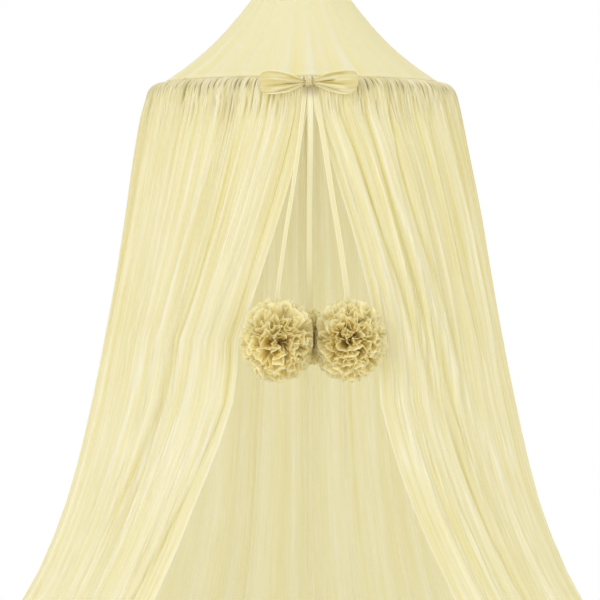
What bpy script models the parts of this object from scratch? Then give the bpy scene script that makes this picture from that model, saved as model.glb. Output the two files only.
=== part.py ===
"""Mosquito net canopy: a voile crown and a gathered, parted skirt on a hoop, with a bow and pompoms.

Frame: metres, +Z up. The canopy hangs from its loop, and the origin is the top of that loop's
opening. The parting of the skirt faces -Y. Heights and drops in the tables below are counted
from the hoop, up and down.
"""

import math
from collections import namedtuple

import bmesh
import bpy
from mathutils import Vector

# ---------------------------------------------------------------- driving dimensions
HOOP_LEVEL = -0.370  # the hoop's centre plane, below the loop's opening
HOOP_RADIUS = 0.2891  # to the middle of its rod
HOOP_ROD_RADIUS = 0.004
HOOP_SINK = 0.0035  # the rod's middle below the hoop level, under the gathered shoulder
HOOP_COLUMNS = 64
HOOP_ROD_SIDES = 6
CLOTH = 0.0016  # thickness of the crown and the skirt
RIBBON_CLOTH = 0.0010
BOW_CLOTH = 0.0012
STRAP_CLOTH = 0.0015
MERGE = 0.00005  # corners nearer than this are one

CrownSection = namedtuple("CrownSection", "height radius")
CROWN_SECTIONS = (
    CrownSection(0.3180, 0.0092),
    CrownSection(0.3000, 0.0165),
    CrownSection(0.2700, 0.0335),
    CrownSection(0.2250, 0.0620),
    CrownSection(0.1790, 0.0968),
    CrownSection(0.1325, 0.1353),
    CrownSection(0.0975, 0.1678),
    CrownSection(0.0660, 0.2018),
    CrownSection(0.0450, 0.2275),
    CrownSection(0.0300, 0.2485),
    CrownSection(0.0180, 0.2655),
)
CROWN_COLUMNS = 48
GORES = 6
GORE_FLATNESS = 0.012  # how far a gore's middle lies inside the round of its seams

SkirtSection = namedtuple("SkirtSection", "drop radius fold_depth gather_depth")
SKIRT_SECTIONS = (
    SkirtSection(-0.0177, 0.2664, 0.0000, 0.0000),
    SkirtSection(-0.0130, 0.2830, 0.0004, 0.0016),
    SkirtSection(-0.0010, 0.2955, 0.0008, 0.0020),
    SkirtSection(0.0120, 0.2995, 0.0012, 0.0022),
    SkirtSection(0.0450, 0.3055, 0.0030, 0.0028),
    SkirtSection(0.1200, 0.3172, 0.0065, 0.0020),
    SkirtSection(0.2500, 0.3362, 0.0100, 0.0010),
    SkirtSection(0.4200, 0.3618, 0.0120, 0.0000),
    SkirtSection(0.6200, 0.3993, 0.0135, 0.0000),
    SkirtSection(0.8000, 0.4420, 0.0150, 0.0000),
    SkirtSection(0.9500, 0.4987, 0.0165, 0.0000),
    SkirtSection(1.1200, 0.5995, 0.0185, 0.0000),
    SkirtSection(1.3600, 0.7210, 0.0210, 0.0000),
)
FOLDS = 48
COLUMNS_PER_FOLD = 4
FULL_DROP = SKIRT_SECTIONS[-1].drop  # from the hoop to the hem
HEM_FLATTENING = 0.14  # how much shallower than wide the hem hangs

EdgeSweep = namedtuple("EdgeSweep", "drop left_degrees right_degrees")
EDGE_SWEEPS = (
    EdgeSweep(-0.0200, 0.25, 0.25),
    EdgeSweep(0.0200, 0.70, 0.70),
    EdgeSweep(0.0450, 1.30, 1.00),
    EdgeSweep(0.1200, 4.90, 5.60),
    EdgeSweep(0.2500, 10.40, 12.10),
    EdgeSweep(0.4200, 18.80, 17.90),
    EdgeSweep(0.6200, 24.00, 19.70),
    EdgeSweep(0.8000, 30.80, 25.20),
    EdgeSweep(0.9500, 35.30, 30.40),
    EdgeSweep(1.1200, 37.40, 33.60),
    EdgeSweep(1.3600, 40.00, 37.30),
)
SWEEP_REACH = 0.42  # share of the cloth that swings aside with each edge
SWEEP_FALL = 1.6

Wave = namedtuple("Wave", "size turns start")
DEPTH_WAVES = (Wave(0.22, 5, 0.8), Wave(0.16, 11, 0.0))  # how unevenly deep the folds hang, of their mean
SHIFT_WAVES = (Wave(0.30, 7, 0.0), Wave(0.18, 16, 1.1))  # how unevenly spaced they are, in folds
EDGE_CALM = 0.35  # share of its depth that a fold keeps at the parted edges
CALM_REACH = 0.027  # share of the cloth over which the folds come back to their full depth
SHIFT_REACH = 0.08  # and over which their spacing becomes uneven

BOW_DROP = -0.0040
BOW_FRONT = -0.3037  # y of the middle of the bow's loops
BOW_LEAN = 0.28  # how far the bow's lower half stands forward, over the shoulder's bulge
BOW_HALF_LENGTH = 0.0905
BOW_HALF_DEPTH = 0.0075
BOW_END_HALF_WIDTH = 0.0220
BOW_THROAT_HALF_DEPTH = 0.0012  # between the middles of the cloth's two layers, under the knot
BOW_THROAT_HALF_WIDTH = 0.0035
BOW_OPENING = 1.3  # how late the layers part along a loop
BOW_WIDENING = 2.2  # how late the cloth widens along a loop
BOW_FULL_WIDTH_AT = 0.87  # share of a loop's length at which it is widest
BOW_END_ROUNDING = 0.05
BOW_DROOPS = {-1: -0.0018, 1: 0.0011}  # how far the left and the right loop's end sinks or lifts
BOW_COLUMNS = 36
BOW_ROWS = 4
KNOT_LENGTH = 0.0130
KNOT_HALF_HEIGHT = 0.0066
KNOT_HALF_DEPTH = 0.0042
KNOT_SWELL = 0.12
KNOT_COLUMNS = 14

RibbonSection = namedtuple("RibbonSection", "drop x y width")
RIBBON_ROUTES = {
    "ribbon_left": (
        RibbonSection(0.0045, -0.0066, -0.3040, 0.0100),
        RibbonSection(0.0300, -0.0100, -0.3100, 0.0100),
        RibbonSection(0.0650, -0.0148, -0.3180, 0.0100),
        RibbonSection(0.1100, -0.0211, -0.3280, 0.0100),
        RibbonSection(0.2000, -0.0337, -0.3380, 0.0100),
        RibbonSection(0.3200, -0.0504, -0.3470, 0.0100),
        RibbonSection(0.4250, -0.0600, -0.3520, 0.0100),
        RibbonSection(0.4600, -0.0608, -0.3520, 0.0050),
    ),
    "ribbon_middle": (
        RibbonSection(0.0045, 0.0017, -0.3023, 0.0100),
        RibbonSection(0.0300, 0.0017, -0.3080, 0.0100),
        RibbonSection(0.0650, 0.0017, -0.3150, 0.0100),
        RibbonSection(0.1100, 0.0017, -0.3120, 0.0100),
        RibbonSection(0.2000, 0.0020, -0.3010, 0.0100),
        RibbonSection(0.3200, 0.0026, -0.2840, 0.0100),
        RibbonSection(0.4300, 0.0035, -0.2630, 0.0100),
        RibbonSection(0.4553, 0.0035, -0.2620, 0.0050),
    ),
    "ribbon_right": (
        RibbonSection(0.0045, 0.0104, -0.3040, 0.0100),
        RibbonSection(0.0300, 0.0140, -0.3100, 0.0100),
        RibbonSection(0.0650, 0.0195, -0.3180, 0.0100),
        RibbonSection(0.1100, 0.0265, -0.3280, 0.0100),
        RibbonSection(0.2000, 0.0405, -0.3380, 0.0100),
        RibbonSection(0.3200, 0.0592, -0.3470, 0.0100),
        RibbonSection(0.4250, 0.0710, -0.3520, 0.0100),
        RibbonSection(0.4600, 0.0717, -0.3520, 0.0050),
    ),
}

Pompom = namedtuple("Pompom", "x y drop radius half_height rows")
POMPOMS = {
    "pompom_left": Pompom(-0.0608, -0.3520, 0.4800, 0.0715, 0.0795, 4),
    "pompom_right": Pompom(0.0717, -0.3520, 0.4800, 0.0715, 0.0795, 4),
    "pompom_back": Pompom(0.0035, -0.2620, 0.4740, 0.0500, 0.0530, 3),
}
POMPOM_CORE = 0.0200
PETAL_SPREAD = 0.86  # a petal's width over the room it has at the ball's surface
PETAL_THICKNESS = 0.0032
PETAL_CLEARANCE = 0.0008
PETAL_STEPS = 24
PETAL_MOST_PRESSED = 0.6  # share of its reach that a petal may lose where it is pressed
CURTAIN_CLEARANCE = 0.0050  # from the petals to the parted edges beside and behind them

STRAP_WIDTH = 0.0150
STRAP_LOOP_RADIUS = 0.0108
STRAP_THROAT_DROP = 0.0360
STRAP_TAIL_DROP = 0.0660
STRAP_SHOULDER = (0.0052, -0.0285)  # where a tail turns out into the eye
STRAP_TAIL_GAP = 0.0004
STRAP_ARC_STEPS = 10

# ---------------------------------------------------------------- colours, linear
VOILE = (0.850, 0.777, 0.470)
VOILE_SHADE = (0.800, 0.715, 0.390)
PETAL = (0.780, 0.640, 0.290)
HOOP_WHITE = (0.800, 0.780, 0.700)


# ---------------------------------------------------------------- helpers
def material(name, colour, roughness):
    """A plain Principled material."""
    made = bpy.data.materials.new(name)
    made.use_nodes = True
    shader = made.node_tree.nodes["Principled BSDF"]
    shader.inputs["Base Color"].default_value = (*colour, 1.0)
    shader.inputs["Roughness"].default_value = roughness
    shader.inputs["Metallic"].default_value = 0.0
    return made


def add_object(name, bm, surface):
    """Turn a bmesh into a smooth-shaded object of one material."""
    mesh = bpy.data.meshes.new(name)
    bm.to_mesh(mesh)
    bm.free()
    mesh.shade_smooth()
    mesh.materials.append(surface)
    piece = bpy.data.objects.new(name, mesh)
    bpy.context.scene.collection.objects.link(piece)
    return piece


def thicken(piece, thickness):
    """Give a sheet its thickness, half to each side."""
    solidify = piece.modifiers.new("Solidify", "SOLIDIFY")
    solidify.thickness = thickness
    solidify.offset = 0.0
    solidify.use_even_offset = True
    solidify.use_quality_normals = True
    return piece


def sheet(columns, rows, place):
    """A grid of columns by rows cells, with each corner put where place(column, row) says."""
    bm = bmesh.new()
    bmesh.ops.create_grid(bm, x_segments=columns, y_segments=rows, size=0.5)
    for vertex in bm.verts:
        column = round((vertex.co.x + 0.5) * columns)
        row = round((0.5 - vertex.co.y) * rows)
        vertex.co = place(column, row)
    bmesh.ops.triangulate(bm, faces=bm.faces)
    return bm


def between(rows, drop):
    """The row of a table at a drop, straight between the two rows around it."""
    last = rows[-1]
    for low, high in zip(rows, rows[1:]):
        if drop <= high.drop:
            share = (drop - low.drop) / (high.drop - low.drop)
            return type(low)(*(a + share * (b - a) for a, b in zip(low, high)))
    return last


# ---------------------------------------------------------------- hanging loop
def strap_point(step):
    """A point of the strap's middle line in the XZ plane: up one tail, round the eye, down the other."""
    tail_side = STRAP_CLOTH / 2 + STRAP_TAIL_GAP / 2
    eye_radius = STRAP_LOOP_RADIUS + STRAP_CLOTH / 2
    eye_centre = -STRAP_LOOP_RADIUS
    leg = ((tail_side, -STRAP_TAIL_DROP), (tail_side, -STRAP_THROAT_DROP), STRAP_SHOULDER)
    arc_step = step - len(leg)
    if arc_step < 0:
        x, z = leg[step]
        return -x, z
    if arc_step <= STRAP_ARC_STEPS:
        angle = math.pi * arc_step / STRAP_ARC_STEPS
        return -eye_radius * math.cos(angle), eye_centre + eye_radius * math.sin(angle)
    return leg[STRAP_ARC_STEPS - arc_step]


def build_hanging_loop(surface):
    """A strap folded to an eye, its two tails side by side inside the crown's tip."""
    leg_steps = 3

    def place(column, row):
        x, z = strap_point(column)
        return Vector((x, (row - 0.5) * STRAP_WIDTH, z))

    bm = sheet(2 * leg_steps + STRAP_ARC_STEPS, 1, place)
    return thicken(add_object("hanging_loop", bm, surface), STRAP_CLOTH)


# ---------------------------------------------------------------- crown
def build_crown(surface):
    """The pointed cap: its profile spun round, with the gores' middles drawn in a little."""
    rim, tip = CROWN_SECTIONS[-1], CROWN_SECTIONS[0]
    bm = bmesh.new()
    outline = [bm.verts.new((s.radius, 0.0, HOOP_LEVEL + s.height)) for s in CROWN_SECTIONS]
    edges = [bm.edges.new(pair) for pair in zip(outline, outline[1:])]
    bmesh.ops.spin(
        bm,
        geom=outline + edges,
        cent=(0.0, 0.0, 0.0),
        axis=(0.0, 0.0, 1.0),
        angle=math.tau,
        steps=CROWN_COLUMNS,
        use_merge=True,
    )
    for vertex in bm.verts:
        turn = math.atan2(vertex.co.x, -vertex.co.y)
        height = vertex.co.z - HOOP_LEVEL
        way_down = (tip.height - height) / (tip.height - rim.height)
        billow = math.sin(math.pi * way_down) * math.cos(turn * GORES / 2) ** 2
        shrink = 1.0 - GORE_FLATNESS * billow
        vertex.co.x *= shrink
        vertex.co.y *= shrink
    bmesh.ops.triangulate(bm, faces=bm.faces)
    return thicken(add_object("crown", bm, surface), CLOTH)


# ---------------------------------------------------------------- hoop
def build_hoop(surface):
    """The plain round ring that spreads the net."""
    bpy.ops.mesh.primitive_torus_add(
        major_radius=HOOP_RADIUS,
        minor_radius=HOOP_ROD_RADIUS,
        major_segments=HOOP_COLUMNS,
        minor_segments=HOOP_ROD_SIDES,
        location=(0.0, 0.0, HOOP_LEVEL - HOOP_SINK),
    )
    ring = bpy.context.object
    ring.name = ring.data.name = "hoop"
    ring.data.shade_smooth()
    ring.data.materials.append(surface)
    return ring


# ---------------------------------------------------------------- skirt
def sway(waves, share):
    """The sum of some waves along the cloth, at this share of it."""
    return sum(wave.size * math.sin(math.tau * wave.turns * share + wave.start) for wave in waves)


def from_edge(share, reach):
    """0 at either edge of the cloth, rising to 1 at a reach in from it."""
    return min(1.0, share / reach, (1.0 - share) / reach)


def edge_fall(share):
    """How much of an edge's sweep the cloth follows at this share from the edge."""
    return max(0.0, 1.0 - share / SWEEP_REACH) ** SWEEP_FALL


def skirt_turn(share, drop):
    """Degrees round from the front, by the left, at which a share of the cloth hangs."""
    sweep = between(EDGE_SWEEPS, drop)
    swing = sweep.left_degrees * edge_fall(share) - sweep.right_degrees * edge_fall(1.0 - share)
    return 360.0 * share + swing


def skirt_facing(row):
    """How far out and how far up the skirt's outer face looks at a section, as a unit pair."""
    above = SKIRT_SECTIONS[max(row - 1, 0)]
    below = SKIRT_SECTIONS[min(row + 1, len(SKIRT_SECTIONS) - 1)]
    out, fall = below.radius - above.radius, below.drop - above.drop
    length = math.hypot(out, fall)
    return fall / length, out / length


def skirt_point(share, row, ripple):
    """A point of the skirt's middle surface, ripple metres out from the mean round."""
    section = SKIRT_SECTIONS[row]
    out, up = skirt_facing(row)
    turn = math.radians(skirt_turn(share, section.drop))
    reach = section.radius + ripple * out
    depth = 1.0 - HEM_FLATTENING * max(0.0, section.drop) / FULL_DROP
    level = HOOP_LEVEL - section.drop + ripple * up
    return Vector((-reach * math.sin(turn), -reach * depth * math.cos(turn), level))


def build_skirt(surface):
    """One strip gathered to the crown's rim: tight gathers at the hoop that merge to soft folds."""
    columns = FOLDS * COLUMNS_PER_FOLD

    def place(column, row):
        section = SKIRT_SECTIONS[row]
        share = column / columns
        moved = share + sway(SHIFT_WAVES, share) / FOLDS * from_edge(share, SHIFT_REACH)
        calm = EDGE_CALM + (1.0 - EDGE_CALM) * from_edge(share, CALM_REACH)
        folds = math.cos(math.tau * column / COLUMNS_PER_FOLD) * (1.0 + sway(DEPTH_WAVES, share)) * calm
        gathers = math.cos(math.pi * column)
        ripple = section.fold_depth * folds + section.gather_depth * gathers
        return skirt_point(moved, row, ripple)

    bm = sheet(columns, len(SKIRT_SECTIONS) - 1, place)
    return thicken(add_object("skirt", bm, surface), CLOTH)


# ---------------------------------------------------------------- bow
def build_bow_loops(surface):
    """One strip looped to both sides and pinched in the middle: a flat ring of cloth."""

    def place(column, row):
        angle = math.tau * column / BOW_COLUMNS
        side = math.cos(angle)
        spread = abs(side)
        depth = BOW_THROAT_HALF_DEPTH + BOW_HALF_DEPTH * spread**BOW_OPENING
        widening = math.sin(min(1.0, spread / BOW_FULL_WIDTH_AT) * math.pi / 2) ** BOW_WIDENING
        growth = (BOW_END_HALF_WIDTH - BOW_THROAT_HALF_WIDTH) * widening
        across = 2.0 * row / BOW_ROWS - 1.0
        droop = BOW_DROOPS[-1 if side < 0 else 1] * spread
        return Vector(
            (
                BOW_HALF_LENGTH * side * (1.0 - BOW_END_ROUNDING * across**2),
                BOW_FRONT - depth * math.sin(angle) - BOW_LEAN * growth * across,
                HOOP_LEVEL - BOW_DROP - (BOW_THROAT_HALF_WIDTH + growth) * across + droop,
            )
        )

    bm = sheet(BOW_COLUMNS, BOW_ROWS, place)
    bmesh.ops.remove_doubles(bm, verts=bm.verts, dist=MERGE)
    return thicken(add_object("bow_loops", bm, surface), BOW_CLOTH)


def build_bow_knot(surface):
    """The band round the bow's pinched middle."""
    rows = 2

    def place(column, row):
        angle = math.tau * column / KNOT_COLUMNS
        along = row / rows - 0.5
        swell = 1.0 + KNOT_SWELL * math.cos(math.pi * along)
        return Vector(
            (
                KNOT_LENGTH * along,
                BOW_FRONT + KNOT_HALF_DEPTH * swell * math.cos(angle),
                HOOP_LEVEL - BOW_DROP + KNOT_HALF_HEIGHT * swell * math.sin(angle),
            )
        )

    bm = sheet(KNOT_COLUMNS, rows, place)
    bmesh.ops.remove_doubles(bm, verts=bm.verts, dist=MERGE)
    return thicken(add_object("bow_knot", bm, surface), BOW_CLOTH)


# ---------------------------------------------------------------- ribbons
def build_ribbon(name, surface):
    """A narrow strap, facing forwards, that follows its route from the bow to its pompom."""
    route = RIBBON_ROUTES[name]

    def place(column, row):
        section = route[row]
        side = (column - 0.5) * section.width
        return Vector((section.x + side, section.y, HOOP_LEVEL - section.drop))

    bm = sheet(1, len(route) - 1, place)
    return thicken(add_object(name, bm, surface), RIBBON_CLOTH)


# ---------------------------------------------------------------- pompoms
def press_planes(name):
    """Planes that a pompom's petals are pressed flat against: towards each neighbour."""
    own = POMPOMS[name]
    centre = Vector((own.x, own.y, 0.0))
    planes = []
    for other_name, other in POMPOMS.items():
        if other_name == name:
            continue
        away = Vector((other.x, other.y, 0.0)) - centre
        share = own.radius / (own.radius + other.radius)
        planes.append((away.normalized(), away.length * share - PETAL_CLEARANCE))
    return planes


def in_the_parting(point):
    """True if a point in front of the hoop's axis is clear of both front curtains."""
    drop = HOOP_LEVEL - point.z
    section, sweep = between(SKIRT_SECTIONS, drop), between(EDGE_SWEEPS, drop)
    left, right = math.radians(sweep.left_degrees), math.radians(sweep.right_degrees)
    face = -section.radius * math.cos(min(left, right)) - section.fold_depth - CURTAIN_CLEARANCE
    low = -section.radius * math.sin(left) + CURTAIN_CLEARANCE
    high = section.radius * math.sin(right) - CURTAIN_CLEARANCE
    return point.y < face or low < point.x < high


def is_clear(point, centre, planes):
    """True if a petal's corner reaches into no neighbour and no curtain."""
    beyond = max((point - centre).dot(direction) - reach for direction, reach in planes)
    return beyond < 0.0 and in_the_parting(point)


def petal_ball(own):
    """A round core of square cells with one cell's middle straight up."""
    bm = bmesh.new()
    bmesh.ops.create_cube(bm, size=2.0)
    bmesh.ops.subdivide_edges(bm, edges=bm.edges[:], cuts=own.rows - 1, use_grid_fill=True)
    for vertex in bm.verts:
        vertex.co.normalize()
    top = max(bm.faces, key=lambda face: round(face.calc_center_median().z, 4))
    lean = top.calc_center_median().rotation_difference(Vector((0.0, 0.0, 1.0))).to_matrix()
    bmesh.ops.rotate(bm, verts=bm.verts, cent=(0.0, 0.0, 0.0), matrix=lean)
    bmesh.ops.scale(bm, verts=bm.verts, vec=(POMPOM_CORE,) * 3)
    return bm


def open_petal(face, own, planes, flip):
    """Spread an extruded cell to a petal's wide, thin tip, as far out as its neighbours let it."""
    middle = face.calc_center_median()
    outward = middle.normalized()
    cell = face.calc_perimeter() / 4 / POMPOM_CORE
    edge = face.verts[1].co - face.verts[0].co
    across = (edge - outward * edge.dot(outward)).normalized()
    along = outward.cross(across)
    if flip:
        across, along = along, -across
    flat = math.hypot(outward.x, outward.y) / own.radius
    reach = 1.0 / math.hypot(flat, outward.z / own.half_height)
    half_width = 0.5 * cell * own.radius * PETAL_SPREAD
    centre = Vector((own.x, own.y, HOOP_LEVEL - own.drop))
    signs = []
    for vertex in face.verts:
        corner = vertex.co - middle
        wide, thin = math.copysign(half_width, corner.dot(across)), corner.dot(along)
        signs.append((wide, math.copysign(PETAL_THICKNESS / 2, thin)))
    for step in range(PETAL_STEPS):
        share = 1.0 - step / PETAL_STEPS * PETAL_MOST_PRESSED
        tip = [outward * reach * share + across * wide * share + along * thin for wide, thin in signs]
        if all(is_clear(corner + centre, centre, planes) for corner in tip):
            break
    for vertex, corner in zip(face.verts, tip):
        vertex.co = corner


def build_pompom(name, surface):
    """A small core with a petal drawn out of each cell but the top one, where the ribbon ties on."""
    own = POMPOMS[name]
    bm = petal_ball(own)
    top = max(bm.faces, key=lambda face: face.calc_center_median().z)
    cells = [face for face in bm.faces if face is not top]
    petals = bmesh.ops.extrude_discrete_faces(bm, faces=cells)["faces"]
    planes = press_planes(name)
    for number, face in enumerate(petals):
        open_petal(face, own, planes, flip=number % 2 == 0)
    bmesh.ops.translate(bm, verts=bm.verts, vec=(own.x, own.y, HOOP_LEVEL - own.drop))
    return add_object(name, bm, surface)


# ---------------------------------------------------------------- the whole canopy
def main():
    """Clear the scene and build every piece."""
    for leftover in list(bpy.data.objects):
        bpy.data.objects.remove(leftover, do_unlink=True)
    voile = material("voile", VOILE, 0.85)
    bow_voile = material("bow_voile", VOILE_SHADE, 0.8)
    ribbon_voile = material("ribbon_voile", VOILE, 0.75)
    petal_voile = material("petal_voile", PETAL, 0.9)
    strap = material("strap", VOILE_SHADE, 0.8)
    hoop_paint = material("hoop_paint", HOOP_WHITE, 0.45)
    build_hanging_loop(strap)
    build_crown(voile)
    build_hoop(hoop_paint)
    build_skirt(voile)
    build_bow_loops(bow_voile)
    build_bow_knot(bow_voile)
    for name in RIBBON_ROUTES:
        build_ribbon(name, ribbon_voile)
    for name in POMPOMS:
        build_pompom(name, petal_voile)


main()
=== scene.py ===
"""Mosquito net canopy: its voile, bow, ribbons and pompoms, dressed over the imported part.

Metres, +Z up, the origin at the top of the hanging loop's opening, the parting of the skirt at -Y.
Heights and drops in the tables are counted up and down from the hoop.
"""

import logging
import math
from collections.abc import Callable, Iterator
from dataclasses import dataclass, replace
from enum import Enum

import bmesh
import bpy
import numpy as np
from bmesh.types import BMesh, BMVert
from bpy.types import Material, NodeSocket, Object
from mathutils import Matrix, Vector


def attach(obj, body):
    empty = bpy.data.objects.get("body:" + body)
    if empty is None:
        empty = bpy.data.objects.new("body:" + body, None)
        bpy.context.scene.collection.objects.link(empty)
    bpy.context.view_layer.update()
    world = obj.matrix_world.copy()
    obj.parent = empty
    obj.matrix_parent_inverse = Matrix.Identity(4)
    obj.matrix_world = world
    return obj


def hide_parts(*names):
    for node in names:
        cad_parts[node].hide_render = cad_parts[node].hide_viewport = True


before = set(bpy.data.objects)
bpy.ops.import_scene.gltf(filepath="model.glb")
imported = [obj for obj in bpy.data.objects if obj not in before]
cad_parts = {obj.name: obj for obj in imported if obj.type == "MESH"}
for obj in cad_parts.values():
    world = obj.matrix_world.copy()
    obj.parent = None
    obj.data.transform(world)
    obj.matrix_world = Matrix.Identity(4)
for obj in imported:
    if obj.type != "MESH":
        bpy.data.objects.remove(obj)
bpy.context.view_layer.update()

Array = np.ndarray
Pair = tuple[float, float]
Triple = tuple[float, float, float]
LOG = logging.getLogger("canopy")
BODY = "root"
CLOTH_UV = "cloth"
HOOP_LEVEL = -0.370


# ---------------------------------------------------------------- helpers
@dataclass(frozen=True)
class Profile:
    """A smooth line through the rows of a table, with no overshoot between them."""

    rows: tuple[tuple[float, ...], ...]

    def at(self, place: Array) -> Array:
        """Reads the table at places along its first column.

        Args:
            place: Positions in the unit of the first column.

        Returns:
            One array of values for each further column.
        """
        table = np.array(self.rows)
        knot, value = table[:, 0], table[:, 1:]
        step = np.diff(knot)[:, None]
        slope = np.diff(value, axis=0) / step
        before, after = slope[:-1], slope[1:]
        same = before * after > 0
        weight_a, weight_b = 2 * step[1:] + step[:-1], step[1:] + 2 * step[:-1]
        harmonic = weight_a / np.where(same, before, 1) + weight_b / np.where(same, after, 1)
        inner = np.where(same, (weight_a + weight_b) / np.where(same, harmonic, 1), 0)
        tangent = np.vstack([slope[:1], inner, slope[-1:]])
        place = np.clip(place, knot[0], knot[-1])
        low = np.clip(np.searchsorted(knot, place, side="right") - 1, 0, len(knot) - 2)
        width = step[low]
        t = (place - knot[low])[:, None] / width
        rise = t * t * (3 - 2 * t)
        found = value[low] * (1 - rise) + value[low + 1] * rise
        found += width * t * (1 - t) * ((1 - t) * tangent[low] - t * tangent[low + 1])
        return found.T


@dataclass
class Draped:
    """Where the points of a cloth lie, and what its finish reads there."""

    points: Array
    flat: Array
    marks: dict[str, Array]


def ease(value: Array, start: float, end: float) -> Array:
    """Rises smoothly from 0 at start to 1 at end."""
    t = np.clip((value - start) / (end - start), 0.0, 1.0)
    return t * t * (3 - 2 * t)


def bump(value: Array, width: float) -> Array:
    """A soft ridge of height 1 at zero that fades over its width."""
    return np.exp(-((value / width) ** 2))


def wave(turns: float, share: Array, start: float = 0.0) -> Array:
    """A sine wave with so many turns over a share from 0 to 1."""
    return np.sin(math.tau * turns * share + start)


def unit(value: Array) -> Array:
    """Values kept between 0 and 1."""
    return np.clip(value, 0.0, 1.0)


def joined(*columns: Array) -> Array:
    """Sets columns of coordinates side by side."""
    return np.stack(columns, axis=1)


def spin_round(bm: BMesh, line: list, steps: int) -> None:
    """Spins a line or section once about the canopy's axis and closes it."""
    bmesh.ops.spin(
        bm,
        geom=line,
        cent=(0.0, 0.0, 0.0),
        axis=(0.0, 0.0, 1.0),
        angle=math.tau,
        steps=steps,
        use_merge=True,
    )


def thicken(piece: Object, thickness: float) -> None:
    """Gives a sheet its thickness, half of it to each side."""
    solid = piece.modifiers.new("thickness", "SOLIDIFY")
    solid.thickness = thickness
    solid.offset = 0.0


def new_piece(name: str, bm: BMesh) -> Object:
    """Turns a bmesh into a smooth-shaded object at the origin.

    Args:
        name: The piece's name.
        bm: Its shape, which is freed.

    Returns:
        The linked object.
    """
    mesh = bpy.data.meshes.new(name)
    bm.to_mesh(mesh)
    bm.free()
    mesh.shade_smooth()
    piece = bpy.data.objects.new(name, mesh)
    bpy.context.scene.collection.objects.link(piece)
    return piece


def drape(piece: Object, hang: Callable[[Array], Draped]) -> None:
    """Moves a piece's points to where its cloth hangs, and writes its UV map and marks.

    Args:
        piece: The piece, still in its first shape.
        hang: Gives the draped state for those first points.
    """
    mesh = piece.data
    first = np.empty(len(mesh.vertices) * 3, np.float32)
    mesh.vertices.foreach_get("co", first)
    state = hang(first.reshape(-1, 3).astype(float))
    mesh.vertices.foreach_set("co", state.points.astype(np.float32).ravel())
    corner = np.empty(len(mesh.loops), np.int32)
    mesh.loops.foreach_get("vertex_index", corner)
    layer = mesh.uv_layers.new(name=CLOTH_UV)
    layer.uv.foreach_set("vector", state.flat[corner].astype(np.float32).ravel())
    for mark, values in state.marks.items():
        made = mesh.attributes.new(mark, "FLOAT", "POINT")
        made.data.foreach_set("value", values.astype(np.float32))
    mesh.update()


def cloth_grid(
    name: str,
    columns: int,
    rows: int,
    hang: Callable[[Array, Array], Draped],
    closed: bool = False,
    turned: bool = False,
) -> Object:
    """Makes a grid of cloth and drapes it.

    Args:
        name: The piece's name.
        columns: Cells across.
        rows: Cells down.
        hang: Gives the draped state from the share across and the share down.
        closed: Whether the first column meets the last.
        turned: Whether the faces look the other way.

    Returns:
        The draped piece.
    """
    bm = bmesh.new()
    bmesh.ops.create_grid(bm, x_segments=columns, y_segments=rows, size=0.5)
    if turned:
        bmesh.ops.reverse_faces(bm, faces=bm.faces)
    piece = new_piece(name, bm)
    drape(piece, lambda first: hang(first[:, 0] + 0.5, 0.5 - first[:, 1]))
    if closed:
        bm = bmesh.new()
        bm.from_mesh(piece.data)
        bmesh.ops.remove_doubles(bm, verts=bm.verts, dist=0.00002)
        bm.to_mesh(piece.data)
        bm.free()
    return piece


def dress(piece: Object, material: Material, slot: str, *nodes: str) -> None:
    """Gives a piece its finish and ties it to the part.

    Args:
        piece: The finished piece.
        material: Its material.
        slot: A slot name for its finish; not used.
        *nodes: The CAD nodes that it stands for.
    """
    piece.data.materials.clear()
    piece.data.materials.append(material)
    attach(piece, BODY)
    if nodes:
        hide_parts(*nodes)
    area = sum(face.area for face in piece.data.polygons)
    triangles = sum(len(face.vertices) - 2 for face in piece.data.polygons)
    LOG.info("%s: %d triangles, %.4f m2", piece.name, triangles, area)


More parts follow.
